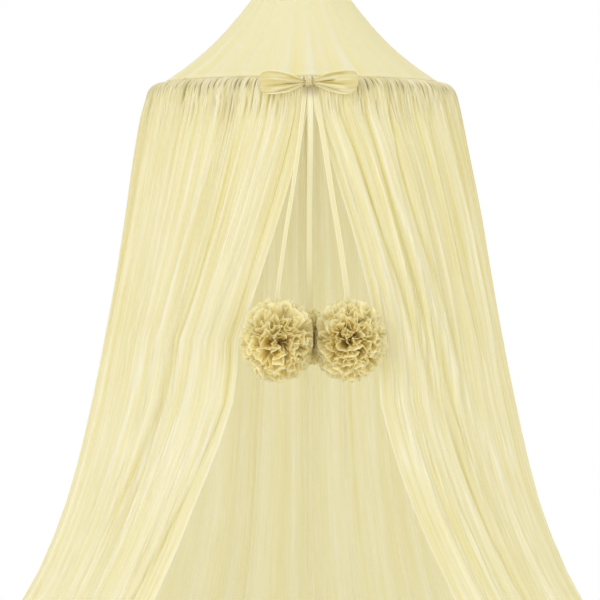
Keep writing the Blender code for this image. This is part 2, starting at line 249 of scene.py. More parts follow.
# ---------------------------------------------------------------- finishes
class Board:
    """One material's node tree, built a node at a time."""

    def __init__(self, name: str) -> None:
        """Starts an empty material of that name."""
        self.material = bpy.data.materials.new(name)
        self.material.use_nodes = True
        self.tree = self.material.node_tree
        self.tree.nodes.clear()

    def add(self, kind: str, inputs: dict[int | str, object], **settings: object) -> bpy.types.Node:
        """Adds a node.

        Args:
            kind: The node's type.
            inputs: For each socket, the socket that feeds it or its plain value.
            **settings: The node's own settings.

        Returns:
            The new node.
        """
        node = self.tree.nodes.new(kind)
        for key, value in settings.items():
            setattr(node, key, value)
        for key, value in inputs.items():
            if isinstance(value, NodeSocket):
                self.tree.links.new(value, node.inputs[key])
            else:
                node.inputs[key].default_value = value
        return node

    def math(self, operation: str, *inputs: object) -> NodeSocket:
        """A Math node's result for up to three inputs."""
        return self.add("ShaderNodeMath", dict(enumerate(inputs)), operation=operation).outputs[0]

    def blend(self, share: object, low: object, high: object) -> NodeSocket:
        """A colour between two, mixed by a share."""
        node = self.add("ShaderNodeMix", {0: share, 6: low, 7: high}, data_type="RGBA")
        return node.outputs[2]

    def mark(self, name: str) -> NodeSocket:
        """A mark that the piece carries on its points."""
        node = self.add("ShaderNodeAttribute", {}, attribute_name=name, attribute_type="GEOMETRY")
        return node.outputs["Fac"]

    def cloth(self) -> tuple[NodeSocket, NodeSocket, NodeSocket]:
        """The place on the cut cloth, in metres: the whole vector, across and along."""
        flat = self.add("ShaderNodeUVMap", {}, uv_map=CLOTH_UV).outputs[0]
        parts = self.add("ShaderNodeSeparateXYZ", {0: flat})
        return flat, parts.outputs[0], parts.outputs[1]

    def total(self, start: object, *parts: tuple[object, float]) -> NodeSocket:
        """A start and each part times its weight, added up."""
        for value, weight in parts:
            start = self.math("MULTIPLY_ADD", value, weight, start)
        return start

    def clamp(self, value: object) -> NodeSocket:
        """A value kept between 0 and 1."""
        return self.add("ShaderNodeClamp", {0: value}).outputs[0]

    def bump(
        self, strength: float, distance: float, height: NodeSocket, **under: NodeSocket
    ) -> NodeSocket:
        """A normal that follows a height, over another bump's Normal where one is given."""
        inputs = {"Strength": strength, "Distance": distance, "Height": height, **under}
        return self.add("ShaderNodeBump", inputs).outputs[0]

    def mix(self, share: object, first: object, second: object) -> NodeSocket:
        """Two shaders, mixed by a share."""
        return self.add("ShaderNodeMixShader", {0: share, 1: first, 2: second}).outputs[0]

    def noise(self, place: NodeSocket, scale: Triple, detail: float) -> NodeSocket:
        """Noise with its own scale along each axis."""
        moved = self.add("ShaderNodeMapping", {"Vector": place, "Scale": scale})
        inputs = {"Vector": moved.outputs[0], "Scale": 1.0, "Detail": detail, "Roughness": 0.6}
        return self.add("ShaderNodeTexNoise", inputs).outputs[0]

    def lines(self, place: NodeSocket, apart: float, length: float, fine: float) -> NodeSocket:
        """Thin wandering lines along the cloth.

        Args:
            place: The place on the cut cloth.
            apart: About how far apart they lie, in metres.
            length: About how long each one runs, in metres.
            fine: How thin they are; higher is thinner.

        Returns:
            1 on a line, falling to 0 beside it.
        """
        cloud = self.noise(place, (1.0 / apart, 1.0 / length, 1.0), 1.0)
        off = self.math("ABSOLUTE", self.math("SUBTRACT", cloud, 0.5))
        return self.math("MAXIMUM", self.math("MULTIPLY_ADD", off, -fine, 1.0), 0.0)

    def finish(self, shader: NodeSocket) -> Material:
        """Ends the tree in its output and gives the material."""
        self.add("ShaderNodeOutputMaterial", {"Surface": shader})
        return self.material


@dataclass(frozen=True)
class Voile:
    """Sheer plain-woven cloth: painted highlights on its ridges, painted shade where it lies in
    folds.
    """

    name: str
    # The colours of the painted highlight and the painted shade, and of the light that comes
    # through.
    light: Triple
    shade: Triple
    through: Triple
    # The darker golden colour of painted shade in tucks, folds and hollows.
    deep_shade: Triple = (0.37, 0.265, 0.042)
    drawn: float = 0.75
    cover: float = 0.95
    translucency: float = 0.48
    weave: float = 0.0011
    crinkle: float = 0.0045
    stitch: float = 0.00045
    stitch_length: float = 0.0042
    thread: Triple = (0.80, 0.72, 0.42)

    def material(self) -> Material:
        """Builds the cloth's nodes.

        Returns:
            The material, which reads the marks tone, deep, pinch, calm, hem, seam and along.
        """
        board = Board(self.name)
        flat, across, along = board.cloth()
        place = board.add("ShaderNodeTexCoord", {}).outputs["Object"]
        tone, hem, deep_shade = board.mark("tone"), board.mark("hem"), (*self.deep_shade, 1.0)

        # Unevenness along the yarn and over the whole cloth, and three kinds of thin lines: painted
        # shade and painted highlights along fine creases, and painted shade in the pinched slits.
        streak = board.noise(flat, (1 / self.crinkle, 5.0, 1.0), 3.0)
        slub = board.noise(flat, (0.3 / self.crinkle, 1.6, 1.0), 2.0)
        cloud = board.noise(place, (6.0, 6.0, 6.0), 2.0)
        painted_shade = board.lines(flat, 2.4 * self.crinkle, 0.45, 22.0)
        painted_glint = board.lines(flat, 4.4 * self.crinkle, 0.70, 26.0)
        pinched = board.lines(flat, 2.4 * self.crinkle, 0.07, 14.0)
        pinched = board.math("MULTIPLY", pinched, board.mark("pinch"))

        # How pale the cloth is painted, from painted shade to painted highlight, and how much of
        # the darker painted shade it takes in a fold or tuck.
        uneven = board.math("MULTIPLY_ADD", streak, 1.5, -1.55)
        uneven = board.total(uneven, (slub, 1.3), (cloud, 0.30), (painted_shade, -0.34), (painted_glint, 0.45))
        drawn = board.math("MULTIPLY_ADD", board.mark("calm"), -self.drawn, self.drawn)
        level = board.math("MULTIPLY_ADD", uneven, drawn, tone)
        level = board.clamp(board.total(level, (hem, 0.12)))
        sunk_shade = board.clamp(board.total(board.mark("deep_shade"), (pinched, 0.24)))
        colour = board.blend(level, (*self.shade, 1.0), (*self.light, 1.0))
        colour = board.blend(sunk_shade, colour, deep_shade)

        # A row of stitches beside each seam, and the woven grain.
        line = board.math("LESS_THAN", board.math("ABSOLUTE", board.mark("seam")), self.stitch)
        dash = board.math("MULTIPLY", board.mark("along"), math.tau / self.stitch_length)
        stitch = board.math("GREATER_THAN", board.math("SINE", dash), -0.45)
        stitch = board.math("MULTIPLY", line, stitch)
        colour = board.blend(stitch, colour, (*self.thread, 1.0))
        warp = board.math("SINE", board.math("MULTIPLY", across, math.tau / self.weave))
        weft = board.math("SINE", board.math("MULTIPLY", along, math.tau / self.weave))
        weave = board.math("MULTIPLY", warp, weft)
        sewn = board.math("MULTIPLY_ADD", stitch, 1.6, board.math("MULTIPLY", weave, 0.5))
        fine = board.bump(0.35, 0.0002, sewn)
        rise = board.total(streak, (painted_glint, 0.35), (painted_shade, -0.22), (pinched, -0.5))
        bumped = board.bump(0.6, 0.0026 * self.drawn, rise, Normal=fine)

        # The cloth's face, the light that comes through it, and the holes between its yarns.
        body = board.add(
            "ShaderNodeBsdfPrincipled",
            {
                "Base Color": colour,
                "Roughness": 0.85,
                "Specular IOR Level": 0.12,
                "Sheen Weight": 0.08,
                "Sheen Roughness": 0.5,
                "Sheen Tint": (1.0, 0.93, 0.70, 1.0),
                "Normal": bumped,
            },
        )
        # The light through the cloth follows the painted light and shade as well.
        half = board.math("MULTIPLY", level, 0.6)
        lit = board.blend(half, (*self.through, 1.0), (*self.light, 1.0))
        lit = board.blend(sunk_shade, lit, deep_shade)
        glow = board.add("ShaderNodeBsdfTranslucent", {"Color": lit, "Normal": bumped})
        cloth = board.mix(self.translucency, body.outputs[0], glow.outputs[0])
        closed = board.clamp(board.total(self.cover, (weave, 0.04), (hem, 0.08)))
        clear = board.add("ShaderNodeBsdfTransparent", {})
        return board.finish(board.mix(closed, clear.outputs[0], cloth))


@dataclass(frozen=True)
class Enamel:
    """Smooth off-white plastic tube, faintly uneven."""

    name: str = "hoop_plastic"
    colour: Triple = (0.80, 0.78, 0.70)
    worn: Triple = (0.72, 0.69, 0.60)

    def material(self) -> Material:
        """Builds the tube's nodes."""
        board = Board(self.name)
        place = board.add("ShaderNodeTexCoord", {}).outputs["Object"]
        cloud = board.noise(place, (30.0, 30.0, 30.0), 3.0)
        grain = board.noise(place, (900.0, 900.0, 900.0), 2.0)
        colour = board.blend(cloud, (*self.worn, 1.0), (*self.colour, 1.0))
        gloss = board.math("MULTIPLY_ADD", cloud, 0.2, 0.32)
        bumped = board.bump(0.2, 0.0001, grain)
        inputs = {"Base Color": colour, "Roughness": gloss, "Normal": bumped}
        return board.finish(board.add("ShaderNodeBsdfPrincipled", inputs).outputs[0])


# ---------------------------------------------------------------- skirt
@dataclass(frozen=True)
class Crease:
    """A ridge or trough that runs down the cloth: at each drop, the share of the width it is at."""

    line: tuple[Pair, ...]
    width: float
    height: float

    def relief(self, share: Array, drop: Array, reach: Array, fine: float = 1.0) -> Array:
        """How far the crease lifts the cloth.

        Args:
            share: Share of the cloth's width, from the left edge round to the right one.
            drop: Metres below the hoop.
            reach: Metres of cloth for the whole share there.
            fine: Share of the crease's width that is wanted.

        Returns:
            Metres out from the cloth's face.
        """
        start, end = self.line[0][0], self.line[-1][0]
        way = np.clip((drop - start) / (end - start), 0.0, 1.0)
        middle = Profile(self.line).at(drop)[0]
        fade = np.minimum(1.0, 4.0 * np.sin(math.pi * way))
        return self.height * fade * bump((share - middle) * reach, self.width * fine)


def trace(*rows: tuple) -> tuple[Crease, ...]:
    """Creases from rows of width, height and then the places along each line."""
    return tuple(Crease(tuple(line), width, height) for width, height, *line in rows)


# Each row: width, height, then (drop below the hoop, share of the cloth's width).
LEFT_CREASES = trace(
    (0.0030, 0.0045, (0.5, 0.015), (0.57, 0.017), (0.68, 0.025), (0.87, 0.032), (1.4, 0.062)),
    (0.0022, 0.0030, (0.6, 0.014), (0.7, 0.0155), (0.89, 0.021), (0.96, 0.028), (1.4, 0.046)),
    (0.0034, -0.0050, (0.0, 0.011), (0.35, 0.0128), (0.57, 0.008), (0.67, 0.011), (0.9, 0.0186),
     (1.4, 0.036)),
    (0.0034, 0.0042, (0.02, 0.02), (0.22, 0.029), (0.42, 0.0315), (0.57, 0.0425), (0.81, 0.0605),
     (1.4, 0.098)),
    (0.0038, 0.0045, (0.02, 0.038), (0.22, 0.045), (0.41, 0.046), (0.6, 0.05), (0.76, 0.064),
     (0.95, 0.093), (1.4, 0.13)),
    (0.0040, 0.0045, (0.02, 0.059), (0.32, 0.06), (0.57, 0.066), (0.69, 0.074), (0.83, 0.088),
     (0.97, 0.106), (1.4, 0.145)),
    (0.0036, -0.0050, (0.05, 0.067), (0.26, 0.0655), (0.4, 0.066), (0.59, 0.079), (0.7, 0.087),
     (0.83, 0.094), (0.93, 0.105), (1.4, 0.14)),
    (0.0030, 0.0050, (0.05, 0.085), (0.28, 0.093), (0.56, 0.099), (0.79, 0.111), (0.97, 0.128),
     (1.4, 0.165)),
    (0.0060, 0.0050, (0.05, 0.108), (0.42, 0.111), (0.57, 0.117), (0.79, 0.1255), (0.87, 0.1345),
     (0.96, 0.158), (1.4, 0.2)),
    (0.0030, 0.0032, (0.05, 0.133), (0.32, 0.135), (0.58, 0.155), (0.81, 0.174), (1.3, 0.2)),
    (0.0090, 0.0022, (-0.01, 0.029), (0.22, 0.037), (0.42, 0.0385), (0.57, 0.046), (0.81, 0.067),
     (1.4, 0.11)),
    (0.0090, 0.0020, (-0.01, 0.073), (0.3, 0.078), (0.57, 0.088), (0.83, 0.102), (1.4, 0.152)),
)
RIGHT_CREASES = trace(
    (0.0026, 0.0042, (0.3, 0.994), (0.42, 0.986), (0.57, 0.9695), (0.71, 0.964), (0.93, 0.95),
     (1.4, 0.92)),
    (0.0030, 0.0042, (0.5, 0.989), (0.64, 0.98), (0.81, 0.973), (0.96, 0.967), (1.4, 0.945)),
    (0.0024, 0.0030, (0.05, 0.994), (0.13, 0.992), (0.26, 0.987), (0.32, 0.9815), (0.45, 0.976)),
    (0.0036, -0.0050, (0.0, 0.974), (0.2, 0.97), (0.42, 0.96), (0.57, 0.9425), (0.68, 0.9335),
     (0.92, 0.9255), (1.4, 0.9)),
    (0.0034, 0.0040, (0.1, 0.956), (0.3, 0.956), (0.42, 0.952), (0.58, 0.94)),
    (0.0036, -0.0046, (0.0, 0.947), (0.21, 0.948), (0.42, 0.942), (0.58, 0.9235), (0.65, 0.9215),
     (0.85, 0.911)),
    (0.0044, 0.0046, (0.0, 0.943), (0.18, 0.944), (0.28, 0.94), (0.43, 0.929), (0.58, 0.906),
     (0.7, 0.888), (0.82, 0.877), (0.98, 0.866), (1.4, 0.83)),
    (0.0036, -0.0046, (0.0, 0.916), (0.17, 0.9255), (0.28, 0.923), (0.38, 0.916), (0.55, 0.9)),
    (0.0026, 0.0042, (0.58, 0.931), (0.73, 0.92), (0.84, 0.908), (0.97, 0.889), (1.4, 0.86)),
    (0.0034, -0.0044, (0.02, 0.866), (0.16, 0.872), (0.32, 0.874), (0.5, 0.867)),
    (0.0030, 0.0042, (0.0, 0.845), (0.13, 0.848), (0.3, 0.847), (0.52, 0.845)),
    (0.0044, 0.0042, (0.45, 0.869), (0.57, 0.867), (0.71, 0.863), (0.97, 0.853), (1.4, 0.84)),
    (0.0085, 0.0022, (-0.01, 0.984), (0.2, 0.979), (0.42, 0.972), (0.57, 0.955), (0.7, 0.947),
     (1.4, 0.91)),
    (0.0090, 0.0018, (-0.01, 0.93), (0.3, 0.932), (0.57, 0.914), (0.82, 0.892), (1.4, 0.852)),
)
BACK_CREASES = trace(
    (0.0030, 0.0036, (0.25, 0.19), (1.2, 0.193)),
    (0.0032, 0.0038, (0.3, 0.24), (1.4, 0.238)),
    (0.0030, 0.0034, (0.2, 0.31), (1.1, 0.313)),
    (0.0030, 0.0030, (0.35, 0.365), (1.4, 0.362)),
    (0.0030, 0.0026, (0.15, 0.42), (1.0, 0.422)),
    (0.0030, 0.0028, (0.3, 0.475), (1.4, 0.474)),
    (0.0022, 0.0036, (0.5, 0.5425), (1.4, 0.5415)),
    (0.0030, 0.0028, (0.2, 0.59), (1.2, 0.588)),
    (0.0030, 0.0032, (0.2, 0.65), (1.1, 0.652)),
    (0.0032, 0.0036, (0.3, 0.72), (1.4, 0.718)),
    (0.0030, 0.0036, (0.25, 0.78), (1.2, 0.783)),
)


# Drop below the hoop, then the radius and the depths of folds and of gathers.
SKIRT_SECTIONS = Profile((
    (-0.0177, 0.2664, 0.0000, 0.0000), (-0.0130, 0.2830, 0.0004, 0.0016),
    (-0.0010, 0.2955, 0.0008, 0.0020), (0.0120, 0.2995, 0.0012, 0.0022),
    (0.0450, 0.3055, 0.0030, 0.0028), (0.1200, 0.3172, 0.0065, 0.0020),
    (0.2500, 0.3362, 0.0100, 0.0010), (0.4200, 0.3618, 0.0120, 0.0003),
    (0.6200, 0.3993, 0.0135, 0.0000), (0.8000, 0.4420, 0.0150, 0.0000),
    (0.9500, 0.4987, 0.0165, 0.0000), (1.1200, 0.5995, 0.0185, 0.0000),
    (1.3600, 0.7210, 0.0210, 0.0000),
))
# Drop, then the degrees by which the left and the right edge are swept aside.
EDGE_SWEEPS = Profile((
    (-0.0200, 0.25, 0.25), (0.0200, 0.80, 0.60), (0.0450, 1.25, 0.90), (0.0800, 2.30, 2.70),
    (0.1240, 4.20, 5.50), (0.1800, 6.80, 8.30), (0.2550, 10.40, 11.80), (0.3400, 14.60, 15.20),
    (0.4250, 18.60, 17.70), (0.4800, 21.30, 18.40), (0.5350, 21.20, 18.50), (0.5800, 21.40, 18.10),
    (0.6300, 23.00, 19.20), (0.7000, 25.70, 21.10), (0.7750, 29.20, 23.80), (0.8550, 31.90, 26.80),
    (0.9500, 34.90, 30.10), (1.1200, 37.60, 33.70), (1.3600, 40.00, 37.30),
))
# Row of the cloth's grid, then its drop.
ROW_SPACING = Profile((
    (0, -0.0177), (9, 0.0030), (18, 0.0360), (26, 0.1200), (33, 0.3800), (48, 1.3600),
))
# Drop, then how far both sides lean to the right.
SKIRT_LEANS = Profile((
    (-0.02, 0.0000), (0.10, 0.0010), (0.25, 0.0050), (0.50, 0.0060), (0.95, 0.0050),
    (1.20, 0.0015), (1.36, 0.0010),
))


@dataclass
class Level:
    """What the skirt's tables say at the height of each point, and which way is out there."""

    drop: Array
    radius: Array
    folds: Array
    gathers: Array
    out: Array
    up: Array
    left: Array
    right: Array


@dataclass
class Skirt:
    """One strip of voile gathered to the crown's rim, parted at the front, flaring to its hem."""

    sections: Profile = SKIRT_SECTIONS
    sweeps: Profile = EDGE_SWEEPS
    spacing: Profile = ROW_SPACING
    columns: int = 2016
    rows: int = 48
    folds: int = 48
    full_drop: float = 1.36
    hem_flattening: float = 0.14
    sweep_reach: float = 0.42
    sweep_fall: float = 1.6
    depth_waves: tuple[Triple, ...] = ((0.22, 5, 0.8), (0.16, 11, 0.0))
    shift_waves: tuple[Triple, ...] = ((0.30, 7, 0.0), (0.18, 16, 1.1))
    edge_calm: float = 0.35
    calm_reach: float = 0.027
    shift_reach: float = 0.08
    hem_width: float = 0.025
    fold_share: float = 0.52
    front_share: float = 0.35
    tucks: int = 132
    rucks: int = 150
    tuck_reach: float = 0.18
    tuck_depth: float = 0.0042
    strays: int = 200
    half_fold: float = 0.0020
    fine_ruck: float = 0.0007
    hem_rise: float = 0.0008
    # A glint is a narrower copy of each crease; then how strongly creases, glints, stray lines,
    # tucks and tuck lips are painted as highlight or shade.
    glint_width: float = 0.42
    crease_tone: float = 55.0
    glint_tone: float = 115.0
    stray_tone: float = 140.0
    tuck_tone: float = 40.0
    lip_tone: float = 0.62
    leans: Profile = SKIRT_LEANS
    cut: Pair = (3.9, 1.45)
    creases: tuple[Crease, ...] = LEFT_CREASES + RIGHT_CREASES + BACK_CREASES

    @staticmethod
    def sway(waves: tuple[Triple, ...], share: Array) -> Array:
        """The sum of some waves of size, turns and start along the cloth."""
        return sum(size * wave(turns, share, start) for size, turns, start in waves)

    @staticmethod
    def from_edge(share: Array, reach: float) -> Array:
        """0 at either edge of the cloth, rising to 1 at a reach in from it."""
        return np.minimum(1.0, np.minimum(share, 1.0 - share) / reach)

    def edge_fall(self, share: Array) -> Array:
        """How much of an edge's sweep the cloth follows at this share from the edge."""
        return np.maximum(0.0, 1.0 - share / self.sweep_reach) ** self.sweep_fall

    def turn(self, share: Array, left: Array, right: Array) -> Array:
        """Radians round from the front, by the left, at which a share of the cloth hangs."""
        swing = left * self.edge_fall(share) - right * self.edge_fall(1.0 - share)
        return np.radians(360.0 * share + swing)

    def sew_tucks(self, share: Array, drop: Array, reach: Array) -> tuple[Array, Array, Array]:
        """The tight tucks that the cloth is sewn into under the crown's rim.

        Args:
            share: Share of the cloth's width.
            drop: Metres below the hoop.
            reach: Metres of cloth for the whole share there.

        Returns:
            Metres out from the cloth's face, the painted shade far in a tuck, and how much it
            stands on a tuck's lip, which is painted as a highlight, both from 0 to 1.
        """
        rng = np.random.default_rng(5)
        relief, deep_shade, lip = np.zeros_like(share), np.zeros_like(share), np.zeros_like(share)
        top = drop < self.tuck_reach
        along, fall, metres = share[top], drop[top], reach[top]
        for number in range(self.tucks + self.rucks):
            sewn = number < self.tucks
            place = (number + rng.uniform(0.1, 0.9)) / self.tucks
            start = -0.0172 if sewn else rng.uniform(0.004, 0.040)
            place = place if sewn else rng.uniform(0.0, 1.0)
            strength = rng.uniform(0.45, 1.0) if sewn else rng.uniform(0.25, 0.65)
            length = rng.uniform(0.016, 0.052) * (0.5 + strength) + (0.0 if sewn else 0.03)
            width, slant = rng.uniform(0.0011, 0.0019), rng.uniform(-0.024, 0.024)
            gone = np.maximum(fall - start, 0.0)
            off = (along - place - slant * gone) * metres
            window = ease(gone, 0.0, 0.0042) * (1.0 - ease(gone, 0.3 * length, length))
            inside = bump(off, width + 0.006 * gone) * window * strength
            lips = bump(np.abs(off) - 2.4 * width, 1.1 * width) * window * strength
            relief[top] += self.tuck_depth * (0.30 * lips - inside)
            # Painted shade inside each tuck, fading down its length, weaker in the loose rucks.
            painted_shade = inside * (1.0 - ease(gone, 0.4 * length, length)) * (1.0 if sewn else 0.45)
            deep_shade[top] = np.maximum(deep_shade[top], painted_shade)
            lip[top] = np.maximum(lip[top], lips)
        return relief, deep_shade, lip

    def stray_creases(self, share: Array, drop: Array, reach: Array) -> Array:
        """The many faint long lines that lie between the main creases."""
        rng = np.random.default_rng(21)
        relief = np.zeros_like(share)
        for number in range(self.strays):
            start = 0.9 * rng.uniform(0.0, 1.0) ** 1.5 - 0.01
            place = (number + rng.uniform(0.0, 1.0)) / self.strays
            width, end = rng.uniform(0.0011, 0.0026), min(1.40, start + rng.uniform(0.25, 0.8))
            swept = math.copysign(bump(min(place, 1 - place), 0.12), 0.5 - place)
            spread = 0.05 * (end**2 - start**2) * swept
            height = rng.uniform(0.0006, 0.0016) * rng.choice((-0.8, 1.0))
            line = Crease(((start, place), (end, place + spread)), width, height)
            relief += line.relief(share, drop, reach)
        return relief

    def level(self, way: Array) -> Level:
        """Reads the tables at each point's row.

        Args:
            way: Share of the grid's rows for each point.

        Returns:
            Their values there. The rim's row takes the slope of the row under it.
        """
        row = np.rint(way * self.rows).astype(int)
        drops = self.spacing.at(np.arange(self.rows + 1.0))[0]
        slope = (self.sections.at(drops + 0.001)[0] - self.sections.at(drops - 0.001)[0]) / 0.002
        slope[0] = slope[1]
        out = 1.0 / np.hypot(1.0, slope)
        read = (drops, *self.sections.at(drops), out, slope * out, *self.sweeps.at(drops))
        return Level(*(values[row] for values in read))

    def reach(self, moved: Array, level: Level) -> tuple[Array, Array]:
        """Metres of cloth for the whole share, and metres from the nearer edge."""
        near = np.minimum(moved, 1.0 - moved)
        swept = np.where(moved < 0.5, level.left, level.right)
        fall = np.maximum(0.0, 1.0 - near / self.sweep_reach) ** (self.sweep_fall - 1.0)
        stretch = 360.0 - swept * self.sweep_fall / self.sweep_reach * fall
        reach = level.radius * np.radians(stretch)
        return reach, near * reach

    def fold(
        self, share: Array, level: Level, low: Array, front: Array
    ) -> tuple[Array, Array, Array, Array]:
        """The gathers under the rim, which merge to long folds lower down.

        Args:
            share: Share of the cloth's width.
            level: What the tables say there.
            low: How far down the folds have grown, from 0 to 1.
            front: 1 on the two front curtains, 0 behind them.

        Returns:
            Metres out from the cloth's face for folds and gathers, the same for the fine rucks,
            and how high on a fold and on a gather the cloth lies, both from 0 to 1.
        """
        calm = self.edge_calm + (1.0 - self.edge_calm) * self.from_edge(share, self.calm_reach)
        depth = (1.0 + self.sway(self.depth_waves, share)) * calm
        lean = 0.45 * np.tanh((share - 0.5) * 9.0)  # folds roll over towards the edges
        phase = math.tau * self.folds * share
        crest = (0.5 + 0.5 * np.cos(phase + lean * low * np.sin(phase))) ** (0.75 + 0.65 * low)
        kept = self.fold_share * (1.0 - 0.7 * front * low)
        fold = level.folds * depth * (1.0 + 0.12 * low - 2.0 * kept * (1.0 - crest))
        present = 0.5 + 0.5 * wave(13, share, 1.0) * wave(5, share)
        half = self.half_fold * present * low * calm
        fold += half * np.cos(2.0 * phase + 1.1 * wave(19, share) + 1.5 * level.drop)

        # Two gathers to each fold, not quite evenly spaced or drawn in.
        wander = 0.8 * wave(23, share, 0.4) + 0.5 * wave(41, share, 2.0)
        tight = 1.0 + 0.35 * wave(31, share, 1.0) + 0.25 * wave(53, share)
        ruck = (0.5 + 0.5 * np.cos(2.0 * phase + wander * (1.0 - 0.5 * low))) ** 0.5
        gather = level.gathers * tight * (1.5 * ruck - 0.5)
        fine = self.fine_ruck * np.sin(5.0 * phase + 3.0 * wave(17, share))
        fine *= np.exp(-np.maximum(level.drop, 0.0) / 0.22) * ease(level.drop, -0.0177, -0.010)
        return (fold + gather) * ease(level.drop, -0.0260, 0.0010), fine, crest, ruck

    def hang(self, share: Array, way: Array) -> Draped:
        """Drapes the skirt.

        Args:
            share: Share of the cloth's width for each point.
            way: Share of its rows for each point.

        Returns:
            The draped state, with tone, deep, pinch, calm, hem, seam and along.
        """
        share = share - self.front_share * wave(1, share) / math.tau
        level = self.level(way)
        drop = level.drop
        shift = self.sway(self.shift_waves, share) / self.folds
        moved = share + shift * self.from_edge(share, self.shift_reach)
        reach, edge = self.reach(moved, level)
        inward = np.minimum(share, 1.0 - share)
        low, front = ease(drop, 0.05, 0.55), 1.0 - ease(inward, 0.17, 0.26)
        behind = ease(inward, 0.16, 0.30)

        # Everything that lifts the cloth from its smooth flare.
        ripple, fine, crest, ruck = self.fold(share, level, low, front)
        tucked, deep_shade, lip = self.sew_tucks(moved, drop, reach)
        crease = sum(one.relief(moved, drop, reach) for one in self.creases)
        # A narrower copy of each crease: its crest lifts the cloth a little and is painted as a
        # highlight.
        glint = sum(one.relief(moved, drop, reach, self.glint_width) for one in self.creases)
        stray = self.stray_creases(moved, drop, reach) * ease(drop, 0.0, 0.06)
        stray *= 1.0 + 0.7 * (1.0 - ease(drop, 0.10, 0.45))
        band = 1.0 - ease(edge, self.hem_width - 0.0006, self.hem_width + 0.0006)
        foot = ease(drop, self.full_drop - self.hem_width, self.full_drop - self.hem_width + 0.001)
        hem = np.maximum(band, foot)
        ripple += fine + 0.7 * crease + 0.4 * glint + stray + tucked + self.hem_rise * hem

        turn = self.turn(moved, level.left, level.right)
        round_ = level.radius + ripple * level.out
        shallow = 1.0 - self.hem_flattening * np.maximum(0.0, drop) / self.full_drop
        points = joined(
            -round_ * np.sin(turn) + self.leans.at(drop)[0] * np.sin(turn) ** 2,
            -round_ * shallow * np.cos(turn),
            HOOP_LEVEL - drop + ripple * level.up,
        )

        # Painted highlights on ridges, creases, tuck lips and the hems' edges; painted shade in
        # troughs and tucks, softer at the back, a painted shadow line under the crown's rim, and
        # painted shade high up, most inside the back.
        rim = bump(edge, 0.0016) + 0.7 * bump(edge - self.hem_width, 0.0014)
        ridge = 0.47 + 0.20 * (2.0 * crest - 1.0) * low * (1.0 - 0.5 * np.maximum(front, behind))
        ridge += 0.25 * (ruck - 0.6) * (1.0 - low) + 0.6 * rim - 0.12 * hem
        ridge += self.crease_tone * crease + self.glint_tone * glint + self.stray_tone * stray
        ridge += self.tuck_tone * tucked + self.lip_tone * lip
        ridge -= (0.05 + 0.12 * behind) * (1.0 - ease(drop, 0.02, 0.55))
        sunk_shade = deep_shade * (1.0 - 0.3 * behind) + 0.30 * (1.0 - ease(drop, -0.0172, -0.0150))
        sunk_shade += 0.13 * behind * (1.0 - ease(drop, 0.10, 0.65))
        sewn_edge, sewn_foot = edge - self.hem_width, self.full_drop - drop - self.hem_width
        by_edge = np.abs(sewn_edge) < np.abs(sewn_foot)
        marks = {
            "tone": unit(ridge),
            "deep_shade": unit(sunk_shade),
            "calm": 0.45 * behind,
            "pinch": (1.0 - ease(drop, 0.010, 0.090)) * (1.0 - 0.5 * behind),
            "hem": hem,
            "seam": np.where(by_edge, sewn_edge, sewn_foot) + 0.0015,
            "along": np.where(by_edge, drop, share * self.cut[0]),
        }
        return Draped(points, joined(share * self.cut[0], drop), marks)

    def build(self, voile: Material) -> None:
        """Makes the skirt and dresses it."""
        piece = cloth_grid("skirt_cloth", self.columns, self.rows, self.hang, turned=True)
        dress(piece, voile, "voile", "skirt")


# ---------------------------------------------------------------- crown
# Drop below the hoop, then the radius.
CROWN_SECTIONS = Profile((
    (-0.3180, 0.0092), (-0.3000, 0.0165), (-0.2700, 0.0335), (-0.2250, 0.0620), (-0.1790, 0.0968),
    (-0.1325, 0.1353), (-0.0975, 0.1678), (-0.0660, 0.2018), (-0.0450, 0.2275), (-0.0300, 0.2485),
    (-0.0180, 0.2655), (-0.0155, 0.2697),
))


